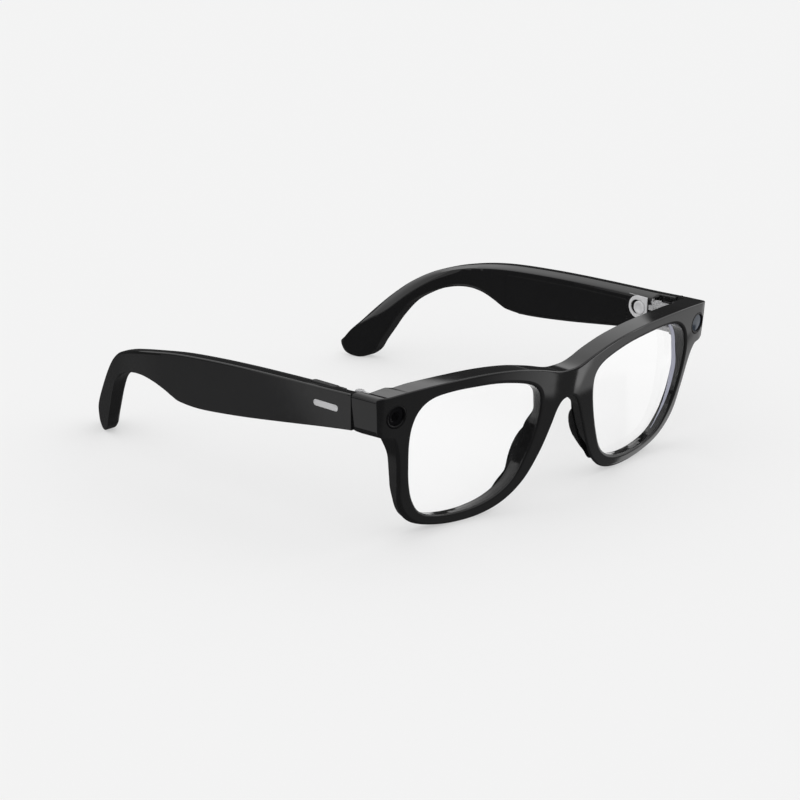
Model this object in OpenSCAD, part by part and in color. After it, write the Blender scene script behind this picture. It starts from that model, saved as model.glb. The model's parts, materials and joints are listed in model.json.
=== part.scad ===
// Smart glasses: a thick square front with a camera and a light in its endpieces,
// two clear lenses, and two folding temples that hold the electronics.
// Millimetres. The front faces -Y, the wearer's left is +X and Z is up.
// The glasses stand on the rims and the temple tips. The origin lies on that
// surface, in the middle of the footprint.

/* [Front] */
// Width of the front across its endpieces
front_width = 149.6; // [147:0.2:152]
// Height of the front, from the rims' lowest point to the brow
front_height = 47; // [46.5:0.1:47.5]
// Radius of the front's wrap around the head
wrap_radius = 450; // [420:10:600]
// Lean of the front face, in degrees
face_tilt = 7.6; // [7.2:0.1:8]
// Lean of the rear face, in degrees
rear_tilt = 4.5; // [4.3:0.1:5]
// Depth of the brow from front to rear
brow_depth = 6.8; // [6.6:0.1:7.2]
// Flare of the nasal walls towards the rear, in degrees
nasal_flare = 17; // [12:1:20]

/* [Lenses] */
// Thickness of a lens
lens_depth = 2; // [1.6:0.1:2.2]
// Reach of the lens groove into the rim
groove_reach = 0.7; // [0.5:0.1:0.8]

/* [Camera and light] */
// Diameter of the black ring around the camera and around the light
ring_d = 7; // [6.6:0.1:7.2]
// Diameter of the glass inside each ring
glass_d = 5.5; // [5:0.1:5.6]

/* [Temples] */
// Thickness of a temple
temple_t = 6.6; // [6.5:0.1:7]
// Outward splay of a temple from its hinge back, in degrees
temple_splay = 1.8; // [1.4:0.1:2.2]
// Inward turn of the ear piece, in degrees
ear_turn = 27; // [22:1:30]
// Radius of that inward turn
ear_radius = 65; // [58:1:70]
// Thickness of a temple's outer wall
wall = 1.3; // [1:0.1:1.5]

/* [Hinges] */
// Diameter of the hinge knuckles
knuckle_d = 3.4; // [3:0.1:3.6]
// Diameter of the hinge pin
pin_d = 1.36; // [1.2:0.02:1.5]
// Height of one knuckle
knuckle_h = 1.6; // [1.5:0.05:1.65]

/* [Controls] */
// Length of the capture button
button_length = 10.6; // [10:0.1:12]
// Width of the capture button
button_width = 2.3; // [2:0.1:2.6]
// Diameter of the power slider's dished knob
knob_d = 4.5; // [4.2:0.1:4.6]
// Travel of the power slider
slider_travel = 1.4; // [1:0.1:1.5]

/* [Colours] */
// Colour of the frame and the temples
frame_colour = "#1b1b1d"; // [#1b1b1d, #2b2f3a, #3a2a20]
// Colour of the inner covers and the nose pads
satin_colour = "#2a2a2c"; // [#2a2a2c, #3a3a3c]

/* [Hidden] */
$fn = 48;
overall_depth = 157.16;      // foremost point of the front to the temple tips
front_edge = 0.67;           // set-back of that foremost point from the brow's own start
steps = 2;                   // straight pieces in each span of a smooth curve
gap = 0.05;                  // fitting gap between pieces that don't move
big = 200;                   // longer than the glasses
wrap_sides = 1440;           // sides of the wrap cylinders in a mesh preview
lens_tilt = (face_tilt + rear_tilt) / 2;
lens_set_back = 2.2;         // from the brow's front edge to the lens
lens_clearance = 0.1;        // between a lens's edge and the groove's floor
nominal_width = 149.6;
nominal_height = 47;

// Half outline of the front, in the frame of its face: across, up.
brow_line = [[0, 40.8], [4.5, 41.1], [12, 43.1], [22, 45.2], [34, 46.5], [48, 47], [62, 47], [73.6, 46.6]];
endpiece_edge = [[74.8, 45.6], [74.1, 36.2], [73.2, 34.6]];
rim_line = [
    [68.2, 33.4], [66.3, 28], [64.7, 19.6], [62.1, 10.6], [56.5, 4.5], [48, 1.1], [38, 0], [29, 0.7],
    [21.5, 3.4], [15.2, 8.7], [10.3, 16.7], [7, 23.9], [4.7, 29.1], [2.6, 31.6], [0, 32.2]
];
opening_line = [
    [12.1, 31.5], [12.7, 36], [15.6, 38.8], [21, 40.7], [29.5, 42.4], [38, 43.2], [47, 43.6], [54.6, 43],
    [59.2, 40.5], [61.5, 36.3], [62.1, 31], [61.5, 24.5], [60.2, 17.5], [57.9, 11.5], [54, 6.8],
    [47.5, 4.3], [39, 3.5], [31, 4.3], [24.5, 6.7], [19.6, 10.8], [15.8, 17.8], [13.2, 25.2]
];
nose_pad_line = [
    [8.4, 25.6], [12.6, 24.2], [14.6, 19.4], [17.4, 13.4], [21.2, 8.2], [20.4, 5.9], [16.9, 8.6],
    [13.4, 13.9], [10.7, 19.4]
];

// Side outline of a temple: back from its joint with the front, up.
temple_line = [
    [0, 45.9], [12, 45.4], [30, 44.9], [48, 44.2], [64, 43.2], [76, 42.1], [86, 40.6], [94, 39],
    [101, 37.2], [109, 34.3], [116.7, 29.9], [123.3, 24.6], [128.9, 19.1], [133.8, 13.8], [137.6, 9.3],
    [139.5, 5.6], [138.1, 1.6], [134.6, 0], [131, 0.5], [127.8, 3], [125.7, 6.9], [123.2, 11.1],
    [119.8, 16.8], [115.2, 22.7], [109.8, 26.5], [104.9, 28.8], [101, 30.1], [97.9, 30.9], [94.5, 31.4],
    [90.5, 31.5], [85.3, 30.8], [80.6, 29.4], [77.2, 28.1], [73.6, 27.1], [64, 26.9], [47, 28.6],
    [30, 30.9], [12, 33.5], [0, 35.1]
];
// The hollow inside a temple and the cover that closes it, seen from the side.
cavity_line = [
    [19, 43], [40, 42.8], [60, 41.8], [73, 40.8], [73, 28.2], [60, 29], [40, 31.3], [19, 34.2]
];
cover_line = [
    [18.2, 44.2], [40, 43.7], [60, 42.6], [74.4, 41.5], [74.4, 27.3], [60, 28.2], [40, 30.5], [18.2, 33.4]
];
cover_t = 1;
straight_length = 82;        // straight part of a temple, back from its joint
ear_length = 37;             // straight part of the ear piece past the inward turn

// Where things are, in the frame of the front.
temple_x = front_width / 2;
temple_y = 17.5;             // joint face of a temple
endpiece_y = 17.3;           // rear edge of an endpiece's outer wall
block_y = 14.2;              // rear face of an endpiece's thick part
hinge_x = 67.2;
hinge_y = 21.7;
hinge_z = 35.6;
knuckle_gap = 0.12;
knuckle_step = knuckle_h + knuckle_gap;
hinge_top = hinge_z + 4 * knuckle_step + knuckle_h;
leaf_t = 1;
pin_clearance = 0.04;
eye_x = 68;
eye_z = 40.3;
pocket = [[64.3, 8, 36.4], [71.1, 13, 45]];      // hollow behind the camera or the light
cover_seat = [[64, 13, 35.6], [71.4, 14.2, 45.4]];
nasal_pivot = [12, 4.9, 16.5];
nasal_edge = [10, 2.2, -19];
contact_z = 36.5;
contact_spread = 2.4;

// Where things are along a temple: back from its joint face, up.
button_s = 13.5;
knob_z = 40.6;
knob_s = 12.5;
inlay = [10.2, 40.4];        // middle of the inlay
inlay_length = 10;
inlay_h = 2;
inlay_depth = 0.35;
leaf_s = [7.2, 17.4];        // front and rear ends of the temple leaf
leaf_z = [36.8, 44.4];
leaf_face = -temple_t + 0.3; // inner face of the temple leaf
leaf_thickness = 0.8;
plate_t = 0.6;
grille_s = 58;
grille_length = 12;
grille_w = 2.4;

function scale_outline(p) =
    [for (q = p) [q[0] * front_width / nominal_width, q[1] * front_height / nominal_height]];
function spline(a, b, c, d, t) =
    0.5 * (2 * b + (c - a) * t + (2 * a - 5 * b + 4 * c - d) * t * t
        + (3 * b - a - 3 * c + d) * t * t * t);
// A smooth curve through all the points, from the first to the last
function smooth_open(p) = [
    for (i = [0 : len(p) - 2]) for (k = [0 : steps - 1])
        spline(p[max(i - 1, 0)], p[i], p[i + 1], p[min(i + 2, len(p) - 1)], k / steps),
    p[len(p) - 1]
];
// The same, closed into a ring
function smooth_ring(p) = let (n = len(p)) [
    for (i = [0 : n - 1]) for (k = [0 : steps - 1])
        spline(p[(i + n - 1) % n], p[i], p[(i + 1) % n], p[(i + 2) % n], k / steps)
];
// A clockwise ring moved outwards by d
function grow(p, d) = let (n = len(p)) [
    for (i = [0 : n - 1])
        let (e = p[(i + 1) % n] - p[(i + n - 1) % n]) p[i] + d * [-e[1], e[0]] / norm(e)
];
function mirror_half(p) = concat(p, [for (i = [len(p) - 2 : -1 : 1]) [-p[i][0], p[i][1]]]);
// Depth of the wrapped front face and rear face at a place across and up
function wrap_y(x, z, tilt) =
    (wrap_radius - sqrt(wrap_radius * wrap_radius - x * x) + (front_height - z) * sin(tilt)) / cos(tilt);
function rear_y(x, z) = brow_depth + wrap_y(x, z, rear_tilt);

front_half = concat(smooth_open(scale_outline(brow_line)), scale_outline(endpiece_edge),
    smooth_open(scale_outline(rim_line)));
opening = smooth_ring(scale_outline(opening_line));
pad_span = [8.4, 21.2];      // nearest and farthest reach of a nose pad across the front
pad_turn = atan((rear_y(pad_span[1], 15) - rear_y(pad_span[0], 15)) / (pad_span[1] - pad_span[0]));
eye_turn = asin(eye_x / wrap_radius);
eye_y = wrap_y(eye_x, eye_z, face_tilt);

module in_place() translate([0, -front_edge - overall_depth / 2, 0]) children();
// side is 1 on the wearer's left and -1 on the right
module on_side(side) mirror([side < 0 ? 1 : 0, 0, 0]) children();
module along_y(from, to) translate([0, to, 0]) rotate([90, 0, 0]) linear_extrude(to - from) children();
module box(low, high) translate(low) cube(high - low);

// Everything behind a wrapped face that starts at a depth on the brow line
module behind(start, tilt)
    translate([0, start + wrap_radius / cos(tilt), front_height]) rotate([tilt, 0, 0])
        cylinder(r = wrap_radius, h = big, center = true, $fn = wrap_sides);

module between_faces(start, tilt, end, end_tilt)
    difference() {
        behind(start, tilt);
        behind(end, end_tilt);
    }

module rim_slab(outline)
    intersection() {
        along_y(-5, 30) polygon(outline);
        children();
    }

// ---------- front ----------

// Frame of the camera or the light: origin on the front face, Z out of it
module on_eye(side)
    on_side(side) translate([eye_x, eye_y, eye_z]) rotate([90 + face_tilt, 0, eye_turn]) children();

module endpiece_outline(inner_x)
    polygon([
        [inner_x, 46.6], [front_width / 2 - 1.2, 46.5], [front_width / 2, 45.6],
        [front_width / 2 - 0.9, 36], [front_width / 2 - 1.9, 34.4], [max(inner_x, 63.2), 34.2]
    ]);

module endpiece()
    intersection() {
        union() {
            along_y(0, block_y) endpiece_outline(62.8);
            along_y(0, endpiece_y) endpiece_outline(71.6);
        }
        behind(0, face_tilt);
    }

// The space for the nose on one side, turned about a line along the nasal edge so that it flares
module nasal_cut()
    translate(nasal_pivot) rotate(a = nasal_flare, v = nasal_edge) translate(-nasal_pivot) along_y(-5, 16)
        polygon(concat(smooth_open(scale_outline([for (i = [8 : 13]) rim_line[i]])),
                       [[2, -3], [21.5, -3]]));

// A strip that follows the brow line, between two depths in and two distances down
module flex_band(from, to, low, high) {
    run = concat([for (p = smooth_open(brow_line)) if (p[0] < 65) p], [[65.4, 46.9]]);
    upper = [for (p = run) p - [0, low]];
    lower = [for (p = run) p - [0, high]];
    half = concat(upper, [for (i = [len(run) - 1 : -1 : 0]) lower[i]]);
    for (side = [-1, 1]) on_side(side) rim_slab(half) between_faces(from, face_tilt, to, face_tilt);
}

module contact_frame() translate([0, rear_y(0, contact_z), contact_z]) rotate([rear_tilt, 0, 0]) children();

module front_frame() color(frame_colour) in_place()
    difference() {
        union() {
            rim_slab(mirror_half(front_half)) between_faces(0, face_tilt, brow_depth, rear_tilt);
            for (side = [-1, 1]) on_side(side) endpiece();
        }
        for (side = [-1, 1]) {
            on_side(side) {
                along_y(-5, 30) polygon(opening);
                rim_slab(grow(opening, groove_reach))
                    between_faces(lens_set_back - gap, lens_tilt,
                                  lens_set_back + lens_depth + gap, lens_tilt);
                nasal_cut();
                box(pocket[0], pocket[1]);
                box(cover_seat[0] - [gap, 0, gap], cover_seat[1] + [gap, 1, gap]);
            }
            on_eye(side) {
                translate([0, 0, -1.15]) cylinder(d = ring_d + 2 * gap, h = 3);
                translate([0, 0, -4]) cylinder(d = glass_d + 0.4, h = 4);
            }
        }
        contact_frame() box([-4.6 - gap, -0.8 - gap, -1.7 - gap], [4.6 + gap, 2, 1.7 + gap]);
        flex_band(3.4, 3.9, 1.3, 2.5);
    }

module lens(side) in_place() on_side(side)
    rim_slab(grow(opening, groove_reach - lens_clearance))
        between_faces(lens_set_back, lens_tilt, lens_set_back + lens_depth, lens_tilt);
module lens_right() color("aliceblue", 0.3) lens(-1);
module lens_left() color("aliceblue", 0.3) lens(1);

// Each pad has a flat seat, across the chord of the wrapped rear face
module nose_pad(side) on_side(side)
    intersection() {
        along_y(-5, 30) polygon(smooth_ring(nose_pad_line));
        translate([pad_span[0], rear_y(pad_span[0], 15) + 0.01, 15]) rotate([rear_tilt, 0, pad_turn])
            box([-big / 4, 0, -big / 4], [big / 4, big / 8, big / 4]);
        translate([15.5, 3.4, 15.2]) rotate([0, 90, nasal_flare])
            cylinder(r = 9.4, h = 30, center = true, $fn = 180);
    }
module nose_mic_place(x) translate([x, 10.7, 16]) rotate([0, -90, 0]) children();
module nose_pad_right() color(satin_colour) in_place()
    difference() {
        nose_pad(-1);
        nose_mic_place(-14.6) cylinder(d = 1.2, h = 4);
    }
module nose_pad_left() color(satin_colour) in_place() nose_pad(1);
module nose_microphone() color("dimgray") in_place() nose_mic_place(-14.65) cylinder(d = 1.16, h = 0.8);

module rear_cover(side) on_side(side)
    difference() {
        box(cover_seat[0], cover_seat[1]);
        for (z = [38.8, 43])
            translate([69.7, block_y, z]) rotate([90, 0, 0]) cylinder(d = 0.94, h = 2, center = true);
    }
module rear_cover_right() color(satin_colour) in_place()
    difference() {
        rear_cover(-1);
        translate([-65, block_y, 44.2]) rotate([90, 0, 0]) cylinder(d = 1, h = 5, center = true);
    }
module rear_cover_left() color(satin_colour) in_place() rear_cover(1);
module status_light() color("lightgray") in_place()
    translate([-65, block_y, 44.2]) rotate([90, 0, 0]) cylinder(d = 0.94, h = 1.2);

module eye_ring()
    rotate_extrude() polygon([
        [glass_d / 2 - 0.3, -1.1], [ring_d / 2, -1.1], [ring_d / 2, -0.1], [ring_d / 2 - 0.15, 0.05],
        [glass_d / 2 + 0.2, 0.05], [glass_d / 2, -0.15], [glass_d / 2, -0.85], [glass_d / 2 - 0.3, -0.85]
    ]);
module camera_ring() color("black") in_place() on_eye(-1) eye_ring();
module light_ring() color("black") in_place() on_eye(1) eye_ring();
module eye_glass(depth) translate([0, 0, -0.84]) cylinder(d = glass_d - 0.04, h = depth);
module camera_cover_glass() color("#101018") in_place() on_eye(-1) eye_glass(0.5);
module light_window() color("slategray") in_place() on_eye(1) eye_glass(0.6);
module camera_barrel() color("#202020") in_place() on_eye(-1)
    rotate_extrude()
        polygon([[1.05, -3.3], [2.2, -3.3], [2.2, -1.6], [1.9, -1.2], [1.5, -1.2], [1.05, -1.7]]);
module camera_lens_element() color("midnightblue") in_place() on_eye(-1)
    intersection() {
        translate([0, 0, -3]) cylinder(r = 1.02, h = 1.5);
        translate([0, 0, -3.6]) sphere(r = 2.1);
    }
module camera_board() color("darkgreen") in_place() on_eye(-1) {
    translate([-2.6, -2.6, -4.1]) cube([5.2, 5.2, 0.7]);
    translate([-1.8, -1.8, -4.7]) cube([3.6, 3.6, 0.6]);
}
module light_guide() color("lightgray") in_place() on_eye(1)
    rotate_extrude() polygon([[1.3, -3.2], [1.7, -3.2], [2.3, -0.95], [1.9, -0.95]]);
module light_board() color("darkgreen") in_place() on_eye(1) {
    translate([-2.6, -2.6, -4]) cube([5.2, 5.2, 0.7]);
    translate([-0.7, -0.7, -3.3]) cube([1.4, 1.4, 0.6]);
}

module contact_carrier() color("#111111") in_place() contact_frame()
    difference() {
        box([-4.6, -0.8, -1.7], [4.6, 0.2, 1.7]);
        for (x = [-1, 1] * contact_spread)
            translate([x, 0, 0]) rotate([90, 0, 0]) cylinder(d = 1.9, h = 5, center = true);
    }
module charging_contacts() color("gold") in_place() contact_frame()
    for (x = [-1, 1] * contact_spread)
        translate([x, 0.3, 0]) rotate([90, 0, 0]) cylinder(d = 1.84, h = 1.05);
module front_flex() color("darkorange") in_place() flex_band(3.5, 3.8, 1.45, 2.35);

// ---------- hinges ----------

module at_hinge(side) on_side(side) translate([hinge_x, hinge_y, 0]) children();
module knuckle(level)
    translate([0, 0, hinge_z + level * knuckle_step]) cylinder(d = knuckle_d, h = knuckle_h);
module pin_bore()
    translate([0, 0, hinge_z - 1])
        cylinder(d = pin_d + 2 * pin_clearance, h = hinge_top - hinge_z + 2);

module hinge_front_leaf(side) color("silver") in_place() on_side(side)
    difference() {
        union() {
            box([64.4, block_y, hinge_z], [70.6, block_y + leaf_t, hinge_top]);
            for (level = [0, 2, 4]) {
                translate([hinge_x, hinge_y, 0]) knuckle(level);
                translate([hinge_x - 1.3, block_y + leaf_t / 2, hinge_z + level * knuckle_step])
                    cube([2.6, hinge_y - block_y - leaf_t / 2, knuckle_h]);
            }
        }
        translate([hinge_x, hinge_y, 0]) pin_bore();
        for (z = [38.8, 43])
            translate([69.7, block_y, z]) rotate([90, 0, 0]) cylinder(d = 0.94, h = 5, center = true);
    }
module hinge_front_leaf_right() hinge_front_leaf(-1);
module hinge_front_leaf_left() hinge_front_leaf(1);

module hinge_pin(side) color("silver") in_place() at_hinge(side)
    difference() {
        union() {
            translate([0, 0, hinge_z - 0.3]) cylinder(d = pin_d, h = hinge_top - hinge_z + 0.4);
            translate([0, 0, hinge_top + 0.02]) cylinder(d = 2.6, h = 0.5);
        }
        translate([-2, -0.2, hinge_top + 0.27]) cube([4, 0.4, 1]);
    }
module hinge_pin_right() hinge_pin(-1);
module hinge_pin_left() hinge_pin(1);

module hinge_screws(side) color("silver") in_place() on_side(side)
    for (z = [38.8, 43]) translate([69.7, block_y + leaf_t, z]) rotate([-90, 0, 0]) {
        translate([0, 0, 0.01]) cylinder(d = 1.5, h = 0.4);
        translate([0, 0, -1.6]) cylinder(d = 0.9, h = 1.7);
    }
module hinge_screws_right() hinge_screws(-1);
module hinge_screws_left() hinge_screws(1);

module hinge_temple_leaf(side, slot) color("silver")
    difference() {
        union() {
            in_place() at_hinge(side) for (level = [1, 3]) knuckle(level);
            on_temple(side) {
                box([leaf_face, leaf_s[0], leaf_z[0]], [leaf_face + leaf_thickness, leaf_s[1], leaf_z[1]]);
                for (level = [1, 3])
                    translate([-temple_t - 0.7, 4, hinge_z + level * knuckle_step])
                        cube([1.7, 4.2, knuckle_h]);
            }
        }
        in_place() at_hinge(side) pin_bore();
        if (slot) on_temple(side)
            box([-temple_t - 1, knob_s - 0.9, knob_z - 0.75],
                [-temple_t + 2, knob_s + slider_travel + 0.9, knob_z + 0.75]);
    }
module hinge_temple_leaf_right() hinge_temple_leaf(-1, false);
module hinge_temple_leaf_left() hinge_temple_leaf(1, true);

// ---------- temples ----------

// Frame of a temple: X out from its outer face, Y back from its joint face
module on_temple(side)
    in_place() on_side(side) translate([temple_x, temple_y, 0]) rotate([0, 0, -temple_splay]) children();
// A side outline extruded across the temple
module side_slab(from, to, outline)
    translate([from, 0, 0]) rotate([90, 0, 90]) linear_extrude(to - from) polygon(outline);

function ear_arc(r) = [
    for (k = [0 : 8]) let (a = ear_turn * k / 8) [r * cos(a) - ear_radius, straight_length + r * sin(a)]
];
function ear_end(r) = [r * cos(ear_turn) - ear_radius - ear_length * sin(ear_turn),
    straight_length + r * sin(ear_turn) + ear_length * cos(ear_turn)];
// Seen from above, the band between two depths in from a temple's outer face
function plan_band(from, to) = concat([[-from, 0]], ear_arc(ear_radius - from),
    [ear_end(ear_radius - from), ear_end(ear_radius - to)],
    [for (k = [8 : -1 : 0]) ear_arc(ear_radius - to)[k]], [[-to, 0]]);

module temple_blank()
    intersection() {
        side_slab(-big / 2, 5, smooth_open(temple_line));
        linear_extrude(60) polygon(plan_band(0, temple_t));
    }

// Middle line of the ear core, seen from the side
core_line = [
    [77, 34.8], [86, 35.7], [94, 35.1], [101, 33.4], [108, 30.7], [115, 26], [121.3, 20.1], [126.5, 14]
];
function band(p, r) = let (q = smooth_open(p), n = len(q), side = [
    for (i = [0 : n - 1]) let (e = q[min(i + 1, n - 1)] - q[max(i - 1, 0)]) r * [-e[1], e[0]] / norm(e)
]) concat([for (i = [0 : n - 1]) q[i] + side[i]], [for (i = [n - 1 : -1 : 0]) q[i] - side[i]]);
module core_strip(r)
    intersection() {
        side_slab(-big / 2, 5, band(core_line, r));
        linear_extrude(60) polygon(plan_band(temple_t / 2 - r, temple_t / 2 + r));
    }

module inlay_shape(extra, depth)
    translate([-depth, inlay[0], inlay[1]]) rotate([0, 90, 0]) linear_extrude(depth + 1)
        for (m = [0, 1]) mirror([0, m]) {
            translate([0, (inlay_length - inlay_h) / 2]) circle(d = inlay_h + extra);
            translate([-(inlay_h + extra) / 2, 0]) square([inlay_h + extra, (inlay_length - inlay_h) / 2]);
        }

module grille_place() translate([-temple_t / 2, grille_s, 27.55]) rotate([-5.2, 0, 0]) children();

module temple_shell(side) on_temple(side)
    difference() {
        temple_blank();
        box([-20, -1, 0], [-3.4, 7.6, 60]);
        box([-20, 6, leaf_z[0] - 0.1],
            [leaf_face + leaf_thickness + gap, leaf_s[1] + 0.1, leaf_z[1] + 0.1]);
        box([-5.6, 9.4, 37.6], [-2.4, 19.5, 42.4]);
        side_slab(-temple_t + cover_t, -wall, cavity_line);
        side_slab(-temple_t - 1, -temple_t + cover_t + 0.01, grow(cover_line, gap));
        core_strip(0.9);
        inlay_shape(0.04, inlay_depth);
        grille_place()
            box([-grille_w / 2 - gap, -gap, -3], [grille_w / 2 + gap, grille_length + gap, 3]);
        children();
    }

// Stadium seen from above, for the capture button
module button_outline(extra)
    for (k = [-1, 1]) {
        translate([0, k * (button_length - button_width) / 2]) circle(d = button_width + extra);
        translate([-(button_width + extra) / 2, k > 0 ? 0 : -(button_length - button_width) / 2])
            square([button_width + extra, (button_length - button_width) / 2]);
    }
module button_place() translate([-3.4, button_s, 0]) children();

module temple_shell_right() color(frame_colour) temple_shell(-1)
    button_place() {
        translate([0, 0, 43.9]) linear_extrude(5) button_outline(0.2);
        translate([0, 0, 40]) cylinder(d = 2, h = 5);
        box([-1.6, -2.4, 40.2], [1.6, 2.4, 43.1]);
    }
module temple_shell_left() color(frame_colour) temple_shell(1);

module temple_cover(side)
    on_temple(side) side_slab(-temple_t, -temple_t + cover_t - gap, cover_line);
module temple_cover_right() color(satin_colour) temple_cover(-1);
module temple_cover_left() color(satin_colour) temple_cover(1);

// Rounded plate over the temple leaf: square at the hinge end, round behind
module d_plate()
    translate([leaf_face - plate_t, 0, knob_z]) rotate([0, 90, 0]) linear_extrude(plate_t) union() {
        translate([0, 13.4]) circle(r = 3.8);
        translate([-3.8, 9.3]) square([7.6, 4.1]);
    }
module hinge_plate_right() color("silver") on_temple(-1) d_plate();
module switch_plate_left() color("silver") on_temple(1)
    difference() {
        d_plate();
        translate([leaf_face - 2, 0, knob_z]) rotate([0, 90, 0]) linear_extrude(4) {
            for (s = [0, slider_travel]) translate([0, knob_s + s]) circle(d = knob_d + 0.2);
            translate([-knob_d / 2 - 0.1, knob_s]) square([knob_d + 0.2, slider_travel]);
        }
    }
module power_slider() color("lightgray") on_temple(1) translate([leaf_face, knob_s, knob_z]) {
    rotate([0, -90, 0]) rotate_extrude()
        polygon([
            [0, 0.04], [knob_d / 2, 0.04], [knob_d / 2, 0.8], [knob_d / 2 - 0.25, 1.05], [1.5, 1.05],
            [0.9, 0.8], [0, 0.7]
        ]);
    box([-0.1, -0.7, -0.6], [leaf_thickness + 0.5, 0.7, 0.6]);
}
module slide_switch() color("dimgray") on_temple(1)
    difference() {
        box([-5.3, 10.4, 38.2], [-3.2, 16, 42]);
        box([-5.4, knob_s - 0.9, knob_z - 0.8],
            [-4.5, knob_s + slider_travel + 0.9, knob_z + 0.8]);
    }

module temple_inlay(side) color("silver") on_temple(side)
    intersection() {
        inlay_shape(0, inlay_depth - 0.02);
        box([-5, 0, 30], [0, 30, 50]);
    }
module temple_inlay_right() temple_inlay(-1);
module temple_inlay_left() temple_inlay(1);

module speaker(side) color("#303030") on_temple(side) {
    box([-5.4, 56, 30.4], [-1.9, 72, 38.6]);
    translate([-5.4, 64, 34.5]) rotate([0, -90, 0]) cylinder(d = 6, h = 0.15);
}
module speaker_right() speaker(-1);
module speaker_left() speaker(1);

module speaker_grille(side) color("#333333") on_temple(side) grille_place()
    difference() {
        box([-grille_w / 2, 0, -0.5], [grille_w / 2, grille_length, 0.5]);
        for (k = [0 : 5]) translate([-0.75, 1 + k * 1.8, -2]) cube([1.5, 0.9, 4]);
    }
module speaker_grille_right() speaker_grille(-1);
module speaker_grille_left() speaker_grille(1);

module ear_core_right() color("darkgray") on_temple(-1) core_strip(0.8);
module ear_core_left() color("darkgray") on_temple(1) core_strip(0.8);

module main_board() color("darkgreen") on_temple(-1) {
    box([-3.3, 21, 34.2], [-2.7, 50, 41.6]);
    box([-4.7, 24, 34.6], [-3.3, 31, 40.6]);
    box([-4.3, 33, 35], [-3.3, 39, 40]);
    box([-4.1, 41, 34.4], [-3.3, 48, 40.8]);
    box([-2.7, 26, 36], [-2.2, 44, 39]);
}
module touch_film() color("darkkhaki") on_temple(-1) box([-1.75, 21, 34.3], [-1.45, 48, 41.2]);
module temple_microphone(side) color("gold") on_temple(side) box([-5, 52, 37.8], [-3.6, 55, 40.2]);
module temple_microphone_right() temple_microphone(-1);
module temple_microphone_left() temple_microphone(1);

module capture_button() color(satin_colour) on_temple(-1) button_place() {
    translate([0, 0, 44.6]) linear_extrude(1.1) button_outline(0);
    translate([0, 0, 42.6]) cylinder(d = 1.7, h = 2.1);
}
module button_switch() color("dimgray") on_temple(-1) button_place() {
    box([-1.4, -2.2, 40.4], [1.4, 2.2, 41.6]);
    translate([0, 0, 41.6]) cylinder(d = 1.5, h = 0.5);
}

module battery() color("silver") on_temple(1) {
    box([-5.4, 22, 33.9], [-1.5, 45, 41.4]);
    box([-4.4, 45, 35.5], [-2.6, 46.2, 40]);
}
module wireless_board() color("darkgreen") on_temple(1) {
    box([-3.3, 47, 31.6], [-2.7, 55.4, 41]);
    box([-4.3, 48, 32.6], [-3.3, 51.5, 36.6]);
}
module antenna() color("darkorange") on_temple(1) box([-1.75, 47.5, 33], [-1.45, 70, 40.5]);

front_frame();
lens_right();
lens_left();
nose_pad_right();
nose_pad_left();
nose_microphone();
rear_cover_right();
rear_cover_left();
camera_ring();
camera_cover_glass();
camera_barrel();
camera_lens_element();
camera_board();
light_ring();
light_window();
light_guide();
light_board();
status_light();
contact_carrier();
charging_contacts();
front_flex();
hinge_front_leaf_right();
hinge_front_leaf_left();
hinge_pin_right();
hinge_pin_left();
hinge_screws_right();
hinge_screws_left();
hinge_temple_leaf_right();
hinge_temple_leaf_left();
temple_shell_right();
temple_shell_left();
temple_cover_right();
temple_cover_left();
hinge_plate_right();
switch_plate_left();
temple_inlay_right();
temple_inlay_left();
speaker_right();
speaker_left();
speaker_grille_right();
speaker_grille_left();
ear_core_right();
ear_core_left();
main_board();
touch_film();
temple_microphone_right();
temple_microphone_left();
capture_button();
button_switch();
battery();
wireless_board();
antenna();
power_slider();
slide_switch();
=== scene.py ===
# Smart glasses: the looks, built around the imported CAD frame. Blender objects are in metres, in the frame's
# own axes. Shapes are worked out in millimetres, with x across, y back from the front face, and z up.
import json
import math
from contextlib import contextmanager

import bmesh
import bpy
import numpy as np
from mathutils import Matrix, Vector
from mathutils.geometry import delaunay_2d_cdt


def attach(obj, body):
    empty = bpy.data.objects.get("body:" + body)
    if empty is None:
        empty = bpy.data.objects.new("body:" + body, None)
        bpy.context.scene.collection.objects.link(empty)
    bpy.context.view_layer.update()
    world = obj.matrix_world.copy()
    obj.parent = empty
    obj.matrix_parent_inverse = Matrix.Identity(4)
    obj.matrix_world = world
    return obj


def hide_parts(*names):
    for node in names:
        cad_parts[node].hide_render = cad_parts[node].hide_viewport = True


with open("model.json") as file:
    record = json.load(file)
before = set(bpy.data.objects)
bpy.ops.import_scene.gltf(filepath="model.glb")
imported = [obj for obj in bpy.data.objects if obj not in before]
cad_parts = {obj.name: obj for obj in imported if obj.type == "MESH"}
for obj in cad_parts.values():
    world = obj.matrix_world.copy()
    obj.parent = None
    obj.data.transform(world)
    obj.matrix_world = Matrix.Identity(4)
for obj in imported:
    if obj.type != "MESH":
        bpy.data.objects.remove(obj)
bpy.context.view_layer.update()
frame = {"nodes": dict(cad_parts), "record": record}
NODES = frame["nodes"]
SLOTS = {s["node"]: s["material_slot"] for s in frame["record"]["subparts"]}
BODY = {n: b for b, ns in frame["record"]["behaviour"]["bodies"].items() for n in ns}
MM = 0.001
MID_Y = 79.25      # the CAD source's y at the middle of the footprint
SHARP = 32         # degrees: edges that turn more than this stay sharp
scene = bpy.context.scene
rad = math.radians


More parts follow.
